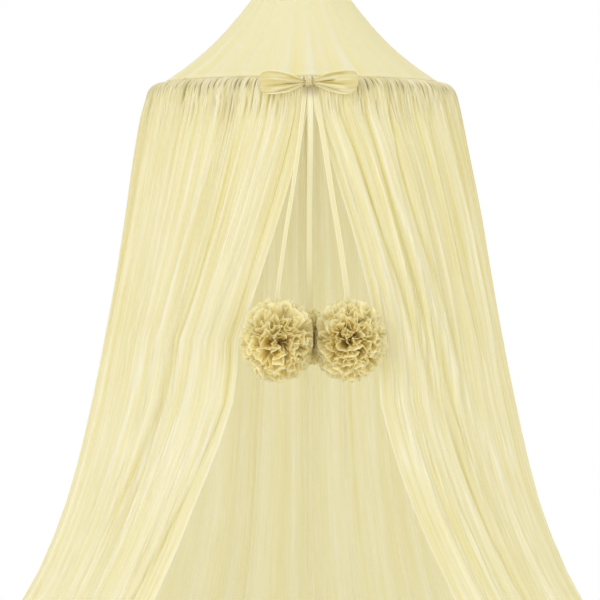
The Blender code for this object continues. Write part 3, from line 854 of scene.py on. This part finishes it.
@dataclass
class Crown:
    """Six gores of voile sewn to one pointed cap."""

    sections: Profile = CROWN_SECTIONS
    columns: int = 384
    rows: int = 72
    gores: int = 6
    rim: float = 0.27
    tip_height: float = 0.3180
    rim_height: float = 0.0155
    flatness: float = 0.012
    seam_width: float = 0.0022
    seam_height: float = 0.0011
    pucker_height: float = 0.0007
    ruck_height: float = 0.0013
    tuck_height: float = 0.0012
    sag_depth: float = 0.0016
    cut: Pair = (1.69, 0.43)
    cut_area: float = 0.38

    def hang(self, first: Array) -> Draped:
        """Shapes the spun cap into sewn gores.

        Args:
            first: The points of the plain spun cap.

        Returns:
            The draped state, with tone, hem, seam and along.
        """
        turn = np.arctan2(first[:, 0], -first[:, 1])
        radius = np.hypot(first[:, 0], first[:, 1])
        height = first[:, 2] - HOOP_LEVEL
        way = (self.tip_height - height) / (self.tip_height - self.rim_height)
        billow = np.sin(math.pi * unit(way)) * np.cos(turn * self.gores / 2) ** 2
        gap = math.tau / self.gores
        off = (turn % gap) - gap / 2
        beside = off * radius
        sewn = bump(beside, self.seam_width) * self.seam_height * ease(radius, 0.01, 0.05)
        pucker = bump(np.abs(beside) - 0.006, 0.006)
        pucker *= np.sin(math.tau * way * 26 + 2 * np.sign(off))
        pucker *= self.pucker_height * ease(radius, 0.03, 0.10)
        lift = ease(way, 0.62, 1.0)
        soft = np.sin(23 * turn + 0.6) + 0.8 * np.sin(37 * turn + 1.9) + 0.5 * np.sin(59 * turn)
        soft = soft * (0.6 + 0.4 * np.sin(5 * turn + 1.0)) * (0.35 + 0.65 * lift) * self.ruck_height
        tuck = self.tuck_height * np.sin(14 * turn) * (1.0 - ease(way, 0.05, 0.30))
        tuck *= ease(radius, 0.0, 0.02)
        sag = -self.sag_depth * np.sin(math.pi * unit((way - 0.45) / 0.55))
        sag *= np.sin(3 * turn + 0.5) ** 2
        grown = radius * (1.0 - self.flatness * billow) + 0.7 * (sewn + pucker + soft + tuck + sag)
        lifted = height + 0.7 * (sewn + pucker + soft + sag)
        pinch = 1.0 - ease(way, 0.0, 0.10)
        points = joined(
            grown * np.sin(turn) * (1.0 - 0.55 * pinch), -grown * np.cos(turn), HOOP_LEVEL + lifted
        )
        slant = way * self.cut[1]
        by_rim = np.abs(way - 1.0) * self.cut[1] < 0.006
        # Painted highlights and shade follow the soft folds, seams and puckers; a thin painted
        # shadow line runs along the rim.
        marks = {
            "tone": unit(0.60 + 260 * soft + 25 * sewn + 160 * pucker),
            "deep_shade": 0.5 * ease(way, 0.988, 0.999),
            "hem": 0.30 * bump(beside, 0.0045) + 0.9 * bump(way - 0.975, 0.008),
            "seam": np.where(by_rim, (1.0 - way) * self.cut[1] - 0.003, np.abs(beside) - 0.0030),
            "along": np.where(by_rim, turn * self.rim, slant),
        }
        return Draped(points, joined(turn * self.rim, slant), marks)

    def build(self, voile: Material) -> None:
        """Spins the crown's outline, shapes it and dresses it."""
        line = np.linspace(0.0, 1.0, self.rows + 1)
        table = np.array(self.sections.rows)
        length = np.concatenate([[0.0], np.cumsum(np.hypot(*np.diff(table, axis=0).T))])
        drops = np.interp(line * length[-1], length, table[:, 0])
        radii = self.sections.at(drops)[0]
        bm = bmesh.new()
        corners = [bm.verts.new((0.0, -r, HOOP_LEVEL - d)) for r, d in zip(radii, drops)]
        edges = [bm.edges.new(pair) for pair in zip(corners, corners[1:])]
        spin_round(bm, corners + edges, self.columns)
        if sum(face.normal.dot(face.calc_center_median().normalized()) for face in bm.faces) < 0:
            bmesh.ops.reverse_faces(bm, faces=bm.faces)
        piece = new_piece("crown_cloth", bm)
        drape(piece, self.hang)
        dress(piece, voile, "voile", "crown")


# ---------------------------------------------------------------- hoop and hanging loop
@dataclass
class Hoop:
    """The plain round tube that spreads the net."""

    radius: float = 0.2891
    rod: float = 0.0040
    sink: float = 0.0035
    round_steps: int = 20
    steps: int = 192

    def build(self, finish: Material) -> None:
        """Spins the tube's round section about the axis."""
        bm = bmesh.new()
        level = HOOP_LEVEL - self.sink
        made = bmesh.ops.create_circle(bm, segments=self.round_steps, radius=self.rod)["verts"]
        for vertex in made:
            vertex.co = Vector((self.radius + vertex.co.x, 0.0, level + vertex.co.y))
        spin_round(bm, bm.verts[:] + bm.edges[:], self.steps)
        bmesh.ops.recalc_face_normals(bm, faces=bm.faces)
        piece = new_piece("hoop_ring", bm)
        dress(piece, finish, "hoop_paint", "hoop")


@dataclass
class Strap:
    """The tape folded to an eye, its tails sewn inside the crown's tip."""

    width: float = 0.0150
    cloth: float = 0.0015
    eye: float = 0.0108
    throat: float = 0.0360
    tail: float = 0.0660
    length: float = 0.166
    stitch_in: float = 0.0017
    shoulder: Pair = (0.0052, -0.0285)

    def line(self, share: Array) -> tuple[Array, Array]:
        """The middle line of the tape, in x and z, from one tail's end to the other's."""
        side = self.cloth / 2 + 0.0003
        radius = self.eye + self.cloth / 2
        leg = [(side, -self.tail), (side, -self.throat), self.shoulder]
        arc = [
            (-radius * math.cos(a), -self.eye + radius * math.sin(a))
            for a in np.linspace(0.0, math.pi, 25)
        ]
        path = np.array([(-x, z) for x, z in leg] + arc + leg[::-1])
        length = np.concatenate([[0.0], np.cumsum(np.hypot(*np.diff(path, axis=0).T))])
        rows = tuple((float(s), float(x), float(z)) for s, (x, z) in zip(length, path))
        x, z = Profile(rows).at(share * length[-1])
        return x, z

    def hang(self, share: Array, way: Array) -> Draped:
        """Bends the tape along its line."""
        x, z = self.line(share)
        side = way - 0.5
        edge = (0.5 - np.abs(side)) * self.width
        along = share * self.length
        marks = {
            "tone": 0.45 + 0.25 * np.cos(side * math.tau),
            "hem": np.full_like(share, 1.0),
            "seam": edge - self.stitch_in,
            "along": along,
        }
        return Draped(joined(x, side * self.width, z), joined(side * self.width, along), marks)

    def build(self, tape: Material) -> None:
        """Makes the tape with its thickness and dresses it."""
        piece = cloth_grid("strap_loop", 96, 10, self.hang)
        thicken(piece, self.cloth)
        dress(piece, tape, "strap", "hanging_loop")


# ---------------------------------------------------------------- bow
@dataclass
class Bow:
    """A strip of sheer voile folded to two loops and pinched by its knot."""

    drop: float = -0.0040
    front: float = -0.3037
    lean: float = 0.28
    middle: float = -0.0040
    half_length: float = 0.0930
    half_depth: float = 0.0075
    throat_half_depth: float = 0.0012
    half_widths: Profile = Profile((
        (0.00, 0.0036), (0.10, 0.0050), (0.29, 0.0122), (0.55, 0.0195), (0.85, 0.0228),
        (1.00, 0.0212),
    ))
    # How far the pleats lift the cloth, and how strongly they are painted lighter where raised and
    # darker in troughs.
    pleat_height: float = 0.0034
    pleat_tone: float = 1.1
    cut: Pair = (0.044, 0.37)
    knot_cut: Pair = (0.014, 0.037)
    knot_seen: Pair = (0.013, 0.035)
    knot_length: float = 0.0110
    knot_half_height: float = 0.0060
    knot_half_depth: float = 0.0042
    # Each pleat: its height at the knot and at its end, where it starts and ends along the loop
    # and its width, as shares, and then its strength, which is negative for a trough.
    left_pleats: tuple[tuple[float, ...], ...] = (
        (-0.10, -0.38, 0.02, 0.85, 0.060, 0.7),
        (0.25, 0.12, 0.02, 0.58, 0.075, -1.0),
        (-0.45, -0.75, 0.04, 0.45, 0.080, -0.6),
        (0.40, 0.62, 0.10, 0.90, 0.090, 0.7),
        (0.62, 0.86, 0.20, 0.80, 0.050, -0.5),
        (-0.60, -0.55, 0.45, 0.95, 0.100, 0.4),
        (0.20, 0.34, 0.45, 0.95, 0.050, -0.4),
    )
    right_pleats: tuple[tuple[float, ...], ...] = (
        (-0.25, -0.52, 0.02, 0.66, 0.090, 1.0),
        (0.02, -0.20, 0.08, 0.58, 0.070, -1.1),
        (0.30, 0.55, 0.04, 0.86, 0.110, 0.9),
        (0.12, 0.22, 0.20, 0.80, 0.045, -0.6),
        (0.62, 0.80, 0.15, 0.75, 0.045, -0.5),
        (-0.70, -0.80, 0.30, 0.90, 0.060, -0.5),
        (-0.10, -0.32, 0.50, 0.95, 0.080, 0.4),
    )

    def hang_loops(self, share: Array, way: Array) -> Draped:
        """Drapes the looped strip: creases run out of the knot and open towards the ends."""
        angle = math.tau * share
        side = np.cos(angle)
        spread = np.abs(side)
        across = 2.0 * way - 1.0
        half = self.half_widths.at(spread)[0]
        growth = half - self.half_widths.rows[0][1]
        depth = self.throat_half_depth + self.half_depth * spread**1.3
        front = np.sin(angle)
        outer = np.where(front >= 0, 1.0, -1.0)
        droop = np.where(side < 0, -0.0018, 0.0011) * spread
        open_ = ease(spread, 0.05, 0.45) * (1.0 - 0.75 * ease(spread, 0.86, 1.0))
        relief, lifted = np.zeros_like(share), np.zeros_like(share)
        for pleats, here in ((self.left_pleats, side < 0), (self.right_pleats, side >= 0)):
            for near, far, start, end, width, strength in pleats:
                off = across - near - (far - near) * (spread - start) / (end - start)
                window = ease(spread, start - 0.02, start + 0.08)
                window *= 1.0 - ease(spread, 0.7 * end, end)
                inside = bump(off, width * (0.6 + 0.8 * spread)) * strength * window
                inside = inside * np.where(front >= 0, 1.0, 0.35) * here
                relief += self.pleat_height * inside * open_
                lifted += inside
        relief += 0.0008 * np.cos(math.pi * (2.3 * across + 0.5 * outer + 0.7 * side)) * open_
        # Painted shade in the pleats' troughs and beside the knot.
        deep_shade = np.maximum(-lifted, 0.0) + 0.5 * (1.0 - ease(spread, 0.05, 0.16))
        curl = 1.0 - 0.05 * across**2 - 0.07 * across**6 - 0.016 * across * ease(spread, 0.3, 1.0)
        wave = 0.0012 * np.sin(6 * side) * spread
        points = joined(
            self.middle + self.half_length * side * curl,
            self.front - depth * front - outer * relief - self.lean * growth * across,
            HOOP_LEVEL - self.drop - half * across + droop + wave,
        )
        edge = (1.0 - np.abs(across)) * self.cut[0] / 2
        # Painted light and shade: raised pleats lighter, the cloth lighter towards its lower edge,
        # a painted highlight along the edges and a band of painted shade just inside them.
        tone = 0.36 + self.pleat_tone * lifted + 0.26 * across + 60 * relief
        marks = {
            "tone": np.clip(tone + 0.8 * bump(edge, 0.0014), 0.0, 1.2),
            "deep_shade": np.clip(0.95 * deep_shade + 0.40 * bump(np.abs(across) - 0.86, 0.05), 0.0, 0.9),
            "hem": 1.0 - ease(edge, 0.0030, 0.0036),
            "seam": edge - 0.0026,
            "along": share * self.cut[1],
        }
        return Draped(points, joined(across * self.cut[0] / 2, share * self.cut[1]), marks)

    def hang_knot(self, share: Array, way: Array) -> Draped:
        """Drapes the band round the pinch, with its small tucks."""
        width, girth = self.knot_seen
        angle = math.tau * share
        along = way - 0.5
        tuck = 1.0 + 0.12 * np.cos(math.pi * along) + 0.05 * np.cos(math.tau * (2.6 * along + 0.1))
        tuck += 0.02 * np.sin(5 * angle)
        points = joined(
            self.middle + self.knot_length * along * (1.0 + 0.06 * np.sin(2 * angle)),
            self.front + self.knot_half_depth * tuck * np.cos(angle),
            HOOP_LEVEL - self.drop + self.knot_half_height * tuck * np.sin(angle),
        )
        # Painted light and shade across the knot's small tucks.
        marks = {
            "tone": 0.5 + 0.4 * np.cos(math.tau * (2.6 * along + 0.1)),
            "hem": np.zeros_like(share),
            "seam": np.full_like(share, 1.0),
            "along": share * girth,
        }
        return Draped(points, joined(along * width, share * girth), marks)

    def build(self, voile: Material) -> None:
        """Makes the loops and the knot and dresses them."""
        loops = cloth_grid("bow_cloth", 224, 40, self.hang_loops, closed=True)
        dress(loops, voile, "bow_voile", "bow_loops")
        knot = cloth_grid("bow_band", 64, 20, self.hang_knot, closed=True)
        dress(knot, voile, "bow_voile", "bow_knot")


# ---------------------------------------------------------------- ribbons
@dataclass
class Ribbon:
    """A narrow folded strap that hangs from under the bow and holds a pompom."""

    name: str
    node: str
    route: Profile
    length: float
    twist: float
    # Painted light that lifts the whole strap's colour.
    pale: float = 0.0
    aside: float = -0.0040
    flat_width: float = 0.0100
    cloth: float = 0.0006

    def hang(self, share: Array, way: Array) -> Draped:
        """Lets the strap follow its route, a little bowed across and rolled at its edges."""
        first, last = self.route.rows[0][0], self.route.rows[-1][0]
        drop = first + (last - first) * way
        x, y, width = self.route.at(drop)
        x = x + self.aside * (0.8 + 0.4 * way)
        side = share - 0.5
        turn = self.twist * np.sin(math.pi * way) * np.sin(3.2 * math.pi * way)
        roll = bump(np.abs(side) - 0.42, 0.07) * 0.0005
        points = joined(
            x + side * width * np.cos(turn) + 0.0006 * np.sin(9 * way) * np.sin(math.pi * way),
            y + side * width * np.sin(turn) - 0.0006 * np.cos(math.pi * side) - roll,
            HOOP_LEVEL - drop,
        )
        edge = (0.5 - np.abs(side)) * width
        # Painted highlights along both edges and painted shade at the top, under the knot.
        marks = {
            "tone": self.pale + 0.30 + 1.1 * bump(edge - 0.0006, 0.0009),
            "deep_shade": 0.55 * (1.0 - ease(drop, 0.006, 0.030)),
            "hem": 1.0 - ease(edge, 0.0016, 0.0020),
            "seam": edge - 0.0018,
            "along": drop,
        }
        return Draped(points, joined(side * width, drop), marks)

    def build(self, voile: Material) -> None:
        """Makes the strap with its thickness and dresses it."""
        piece = cloth_grid(self.name, 20, 120, self.hang)
        thicken(piece, self.cloth)
        dress(piece, voile, "ribbon_voile", self.node)


# ---------------------------------------------------------------- pompoms
class Position(Enum):
    """Where a pompom hangs, as seen from the front."""

    LEFT = "left"
    RIGHT = "right"
    BACK = "back"


@dataclass(frozen=True)
class PompomPlan:
    """Where a pompom hangs, from the axis and the hoop, and its size, petals and flat strip."""

    place: Vector
    drop: float
    radius: float
    half_height: float
    petals: int
    strip: Pair


@dataclass
class Pompom:
    """A ball of ruffled petals, gathered on the ribbon's end.

    Its press holds, for each neighbour, the way there and how far out the petals may reach.
    """

    position: Position
    plan: PompomPlan
    seed: int
    press: tuple[tuple[Vector, float], ...]
    aside: float = -0.0030
    columns: int = 18
    rows: int = 7
    root: float = 0.16
    fan: float = 1.5
    squeeze: float = 0.006
    petal_cut: Pair = (0.075, 0.060)
    petal_pitch: float = 0.083

    def directions(self) -> Iterator[tuple[Vector, float]]:
        """The petals' middles, spread evenly over the ball, each with its own turn."""
        rng = np.random.default_rng(self.seed)
        golden = math.pi * (3.0 - math.sqrt(5.0))
        for number in range(self.plan.petals):
            height = 1.0 - 2.0 * (number + 0.5) / self.plan.petals
            around = golden * number
            flat = math.sqrt(1.0 - height * height)
            jitter = Vector(rng.normal(0.0, 0.07, 3))
            middle = Vector((flat * math.cos(around), flat * math.sin(around), height)) + jitter
            yield middle.normalized(), rng.uniform(0.0, math.pi)

    def spread_petal(
        self, verts: list[BMVert], middle: Vector, turn: float, rng: np.random.Generator
    ) -> dict[BMVert, float]:
        """Ruffles one petal out from the ball's middle.

        Args:
            verts: The points of the petal's flat grid.
            middle: The direction it grows in.
            turn: How it is turned about that direction.
            rng: Gives the petal's own unevenness.

        Returns:
            How far out along the petal each point lies, from 0 to 1.
        """
        across = middle.orthogonal().normalized()
        aside = middle.cross(across)
        along = across * math.cos(turn) + aside * math.sin(turn)
        ring = Vector((-middle.z, 0.0, middle.x))
        fanned = self.fan * ring.length**2 * math.copysign(1.0, along.dot(ring))
        along = (along + ring * fanned).normalized()
        over = middle.cross(along)
        half = rng.uniform(0.22, 0.38)
        waves, start = rng.uniform(1.2, 2.2), rng.uniform(0.0, math.tau)
        sway, second = rng.uniform(0.08, 0.14), rng.uniform(0.02, 0.045)
        reach = rng.uniform(0.95, 1.03)
        cup, curl = rng.uniform(-0.10, 0.10), rng.uniform(-0.16, 0.16)
        back_off, soft = rng.uniform(0.0, 0.005), self.squeeze
        outward = {}
        for vertex in verts:
            side, far = vertex.co.x * 2.0, 1.0 - (0.5 - vertex.co.y) ** 1.8
            out = self.root + (1.0 - self.root) * far
            ruffle = sway * math.sin(math.pi * waves * side + start)
            ruffle += second * math.sin(math.pi * 3.1 * waves * side + 2.0 * start)
            lean = ruffle * out**1.4 + cup * out * (1.0 - side * side)
            lean += curl * far**3 * (1.0 - 0.4 * side * side)
            heading = (middle + along * (math.tan(half) * side) + over * lean).normalized()
            flat = math.hypot(heading.x, heading.y) / self.plan.radius
            ball = 1.0 / math.hypot(flat, heading.z / self.plan.half_height)
            lobe = 1.0 - 0.05 * side * side + 0.022 * math.sin(7.0 * side + start)
            point = heading * (ball * reach * lobe * out)
            for facing, limit in self.press:
                beyond = point.dot(facing) - limit + back_off
                if beyond > -soft:
                    squeezed = -soft * math.exp(-(beyond + soft) / soft)
                    point += facing * (squeezed - beyond)
            vertex.co = point
            outward[vertex] = far
        return outward

    def build(self, voile: Material) -> None:
        rng = np.random.default_rng(self.seed + 7)
        wide, long = self.petal_cut
        bm = bmesh.new()
        flat = bm.loops.layers.uv.new(CLOTH_UV)
        tone = bm.verts.layers.float.new("tone")
        deep_shade = bm.verts.layers.float.new("deep_shade")
        seam = bm.verts.layers.float.new("seam")
        for number, (middle, turn) in enumerate(self.directions()):
            verts = bmesh.ops.create_grid(
                bm, x_segments=self.columns, y_segments=self.rows, size=0.5
            )["verts"]
            places = {vertex: (vertex.co.x, vertex.co.y) for vertex in verts}
            outward = self.spread_petal(verts, middle, turn, rng)
            # Painted light and shade: petals that face higher up and less to the front or back are
            # painted paler, each with a random tone; their rims take a painted highlight, and
            # painted shade gathers towards the ball's middle.
            pale = 0.14 + rng.uniform(-0.20, 0.20) + 0.20 * middle.z + 0.30 * (1.0 - abs(middle.y))
            for vertex in verts:
                far = outward[vertex]
                vertex[tone] = pale + 0.30 * far**1.5 + 1.1 * far**30
                vertex[deep_shade] = (0.68 - 0.5 * pale) * max(0.0, 1.0 - 1.2 * far)
                vertex[seam] = 1.0
            for face in {face for vertex in verts for face in vertex.link_faces}:
                for loop in face.loops:
                    x, y = places[loop.vert]
                    loop[flat].uv = (x * wide + number * self.petal_pitch, y * long)
        place = self.plan.place
        middle = (place.x + self.aside, place.y, HOOP_LEVEL - self.plan.drop)
        bmesh.ops.translate(bm, verts=bm.verts, vec=middle)
        piece = new_piece(f"pompom_{self.position.value}_petals", bm)
        dress(piece, voile, "petal_voile", f"pompom_{self.position.value}")


# ---------------------------------------------------------------- light, floor and camera
@dataclass(frozen=True)
class Lamp:
    """A square soft lamp: its name, where it hangs, its side in metres and its watts."""

    name: str
    place: Triple
    size: float
    power: float


LAMPS = (
    Lamp("key_lamp", (-3.0, -4.2, 1.6), 2.2, 91.0),
    Lamp("fill_lamp", (3.6, -4.0, 0.2), 2.6, 28.0),
    Lamp("top_lamp", (0.4, 0.8, 2.6), 2.0, 6.0),
)


@dataclass
class Studio:
    """Soft light, a pale floor under the hem and the camera in front of the parting."""

    floor_level: float = -1.775
    floor_radius: float = 4.8
    lamps: tuple[Lamp, ...] = LAMPS
    aim: Triple = (0.0, 0.0, -0.8)
    surround: float = 0.93
    distance: float = 8.0
    turn: float = -3.3
    eye_level: float = -0.775
    aside: float = -0.0029
    focal: float = 4104.0
    pixels: float = 600.0
    film: float = 36.0

    def hang_lamp(self, lamp: Lamp) -> None:
        """Hangs a lamp that looks at the canopy's middle."""
        data = bpy.data.lights.new(lamp.name, "AREA")
        data.size, data.energy = lamp.size, lamp.power
        hung = bpy.data.objects.new(lamp.name, data)
        bpy.context.scene.collection.objects.link(hung)
        hung.location = lamp.place
        sight = Vector(self.aim) - Vector(lamp.place)
        hung.rotation_euler = sight.to_track_quat("-Z", "Y").to_euler()

    def light(self) -> None:
        """Hangs the lamps and sets the even surround, which the camera sees as plain white."""
        for lamp in self.lamps:
            self.hang_lamp(lamp)
        world = bpy.data.worlds.new("surround")
        world.use_nodes = True
        bpy.context.scene.world = world
        tree = world.node_tree
        even = tree.nodes["Background"]
        seen = tree.nodes.new("ShaderNodeBackground")
        for node, strength in ((even, self.surround), (seen, 1.0)):
            node.inputs["Color"].default_value = (1.0, 1.0, 1.0, 1.0)
            node.inputs["Strength"].default_value = strength
        path = tree.nodes.new("ShaderNodeLightPath")
        mix = tree.nodes.new("ShaderNodeMixShader")
        tree.links.new(path.outputs["Is Camera Ray"], mix.inputs[0])
        tree.links.new(even.outputs[0], mix.inputs[1])
        tree.links.new(seen.outputs[0], mix.inputs[2])
        tree.links.new(mix.outputs[0], tree.nodes["World Output"].inputs[0])
        bpy.context.scene.view_settings.view_transform = "Standard"

    def lay_floor(self) -> None:
        """Lays the plain round floor."""
        bm = bmesh.new()
        bmesh.ops.create_circle(bm, cap_ends=True, segments=128, radius=self.floor_radius)
        bmesh.ops.translate(bm, verts=bm.verts, vec=(0.0, 0.0, self.floor_level))
        floor = new_piece("floor", bm)
        board = Board("pale_floor")
        place = board.add("ShaderNodeTexCoord", {}).outputs["Object"]
        cloud = board.noise(place, (1.5, 1.5, 1.5), 2.0)
        colour = board.blend(cloud, (0.86, 0.86, 0.85, 1.0), (0.90, 0.90, 0.89, 1.0))
        inputs = {"Base Color": colour, "Roughness": 0.8}
        floor.data.materials.append(
            board.finish(board.add("ShaderNodeBsdfPrincipled", inputs).outputs[0])
        )

    def aim_camera(self) -> None:
        """Sets the camera level, far off, and turned a little to the right of the parting."""
        data = bpy.data.cameras.new("camera")
        data.sensor_width = self.film
        data.lens = self.focal / self.pixels * self.film
        data.clip_end = 60.0
        camera = bpy.data.objects.new("camera", data)
        bpy.context.scene.collection.objects.link(camera)
        angle = math.radians(self.turn)
        forward = Vector((-math.sin(angle), math.cos(angle), 0.0))
        right = Vector((math.cos(angle), math.sin(angle), 0.0))
        place = forward * -self.distance + right * self.aside
        camera.location = (place.x, place.y, self.eye_level)
        camera.rotation_euler = (math.pi / 2, 0.0, angle)
        bpy.context.scene.camera = camera

    def build(self) -> None:
        """Sets up the whole studio."""
        self.light()
        self.lay_floor()
        self.aim_camera()


# ---------------------------------------------------------------- the whole canopy
# Drop below the hoop, then x, y and the width of each strap there.
LEFT_ROUTE = Profile((
    (0.0045, -0.0066, -0.3040, 0.0080), (0.0300, -0.0100, -0.3100, 0.0078),
    (0.0650, -0.0144, -0.3180, 0.0076), (0.1100, -0.0200, -0.3280, 0.0074),
    (0.2000, -0.0322, -0.3380, 0.0074), (0.3200, -0.0510, -0.3470, 0.0074),
    (0.4250, -0.0628, -0.3520, 0.0074), (0.4600, -0.0608, -0.3520, 0.0050),
))
MIDDLE_ROUTE = Profile((
    (0.0045, 0.0017, -0.3023, 0.0100), (0.0300, 0.0017, -0.3080, 0.0100),
    (0.0650, 0.0017, -0.3150, 0.0100), (0.1100, 0.0017, -0.3120, 0.0100),
    (0.2000, 0.0020, -0.3010, 0.0100), (0.3200, 0.0026, -0.2840, 0.0100),
    (0.4300, 0.0035, -0.2630, 0.0100), (0.4553, 0.0035, -0.2620, 0.0050),
))
RIGHT_ROUTE = Profile((
    (0.0045, 0.0104, -0.3040, 0.0100), (0.0300, 0.0140, -0.3100, 0.0100),
    (0.0650, 0.0195, -0.3180, 0.0100), (0.1100, 0.0265, -0.3280, 0.0100),
    (0.2000, 0.0405, -0.3380, 0.0100), (0.3200, 0.0592, -0.3470, 0.0100),
    (0.4250, 0.0710, -0.3520, 0.0100), (0.4600, 0.0717, -0.3520, 0.0050),
))
RIBBONS = (
    Ribbon("ribbon_left_strap", "ribbon_left", LEFT_ROUTE, length=0.466, twist=0.20),
    # The middle strap hangs further back in shade, so it is painted paler.
    Ribbon("ribbon_middle_strap", "ribbon_middle", MIDDLE_ROUTE, 0.456, 0.06, pale=0.45),
    Ribbon("ribbon_right_strap", "ribbon_right", RIGHT_ROUTE, length=0.468, twist=-0.08),
)


LEFT_PLAN = PompomPlan(Vector((-0.0608, -0.3520, 0.0)), 0.4800, 0.0715, 0.0795, 180, (0.070, 5.8))
PLANS = {
    Position.LEFT: LEFT_PLAN,
    Position.RIGHT: replace(LEFT_PLAN, place=Vector((0.0717, -0.3520, 0.0))),
    Position.BACK: PompomPlan(
        Vector((0.0035, -0.2620, 0.0)), 0.4740, 0.0500, 0.0530, 120, (0.050, 2.6)
    ),
}
POMPOM_GAP = 0.0008
POMPOM_SEED = 11


def pompoms() -> Iterator[Pompom]:
    """The three pompoms, each pressed a little flat where it meets a neighbour."""
    for seed, (position, plan) in enumerate(PLANS.items(), POMPOM_SEED):
        press = []
        for other in PLANS.values():
            if other is not plan:
                away = other.place - plan.place
                limit = away.length * plan.radius / (plan.radius + other.radius) - POMPOM_GAP
                press.append((away.normalized(), limit))
        yield Pompom(position, plan, seed, tuple(press))


def main() -> None:
    """Builds the studio and every piece of the canopy."""
    logging.basicConfig(level=logging.INFO, format="%(message)s")
    Studio().build()
    net = Voile(
        "net_voile",
        light=(0.975, 0.958, 0.840),
        shade=(0.790, 0.735, 0.420),
        through=(0.950, 0.862, 0.415),
    )
    voile = net.material()
    cap_voile = replace(
        net, name="cap_voile", light=(0.875, 0.864, 0.735), shade=(0.820, 0.775, 0.450), drawn=0.14
    ).material()
    bow_voile = Voile(
        "bow_sheer",
        light=(0.985, 0.955, 0.735),
        shade=(0.745, 0.650, 0.285),
        through=(0.830, 0.750, 0.390),
        cover=0.80,
    ).material()
    ribbon_voile = Voile(
        "ribbon_cloth",
        light=(0.975, 0.960, 0.820),
        shade=(0.880, 0.835, 0.550),
        through=(0.910, 0.865, 0.590),
        cover=0.98,
        drawn=0.30,
    ).material()
    petal_voile = Voile(
        "petal_sheer",
        light=(1.000, 0.965, 0.700),
        shade=(1.000, 0.850, 0.340),
        through=(1.000, 0.885, 0.400),
        deep_shade=(0.680, 0.440, 0.090),
        cover=0.90,
        translucency=0.40,
        drawn=0.40,
    ).material()
    tape = Voile(
        "tape_weave",
        light=(0.850, 0.780, 0.520),
        shade=(0.720, 0.630, 0.360),
        through=(0.700, 0.600, 0.330),
        cover=1.0,
        translucency=0.08,
        weave=0.0016,
        crinkle=0.0012,
    ).material()
    Strap().build(tape)
    Hoop().build(Enamel().material())
    Crown().build(cap_voile)
    Skirt().build(voile)
    Bow().build(bow_voile)
    for ribbon in RIBBONS:
        ribbon.build(ribbon_voile)
    for pompom in pompoms():
        pompom.build(petal_voile)


if __name__ == "__main__":
    main()
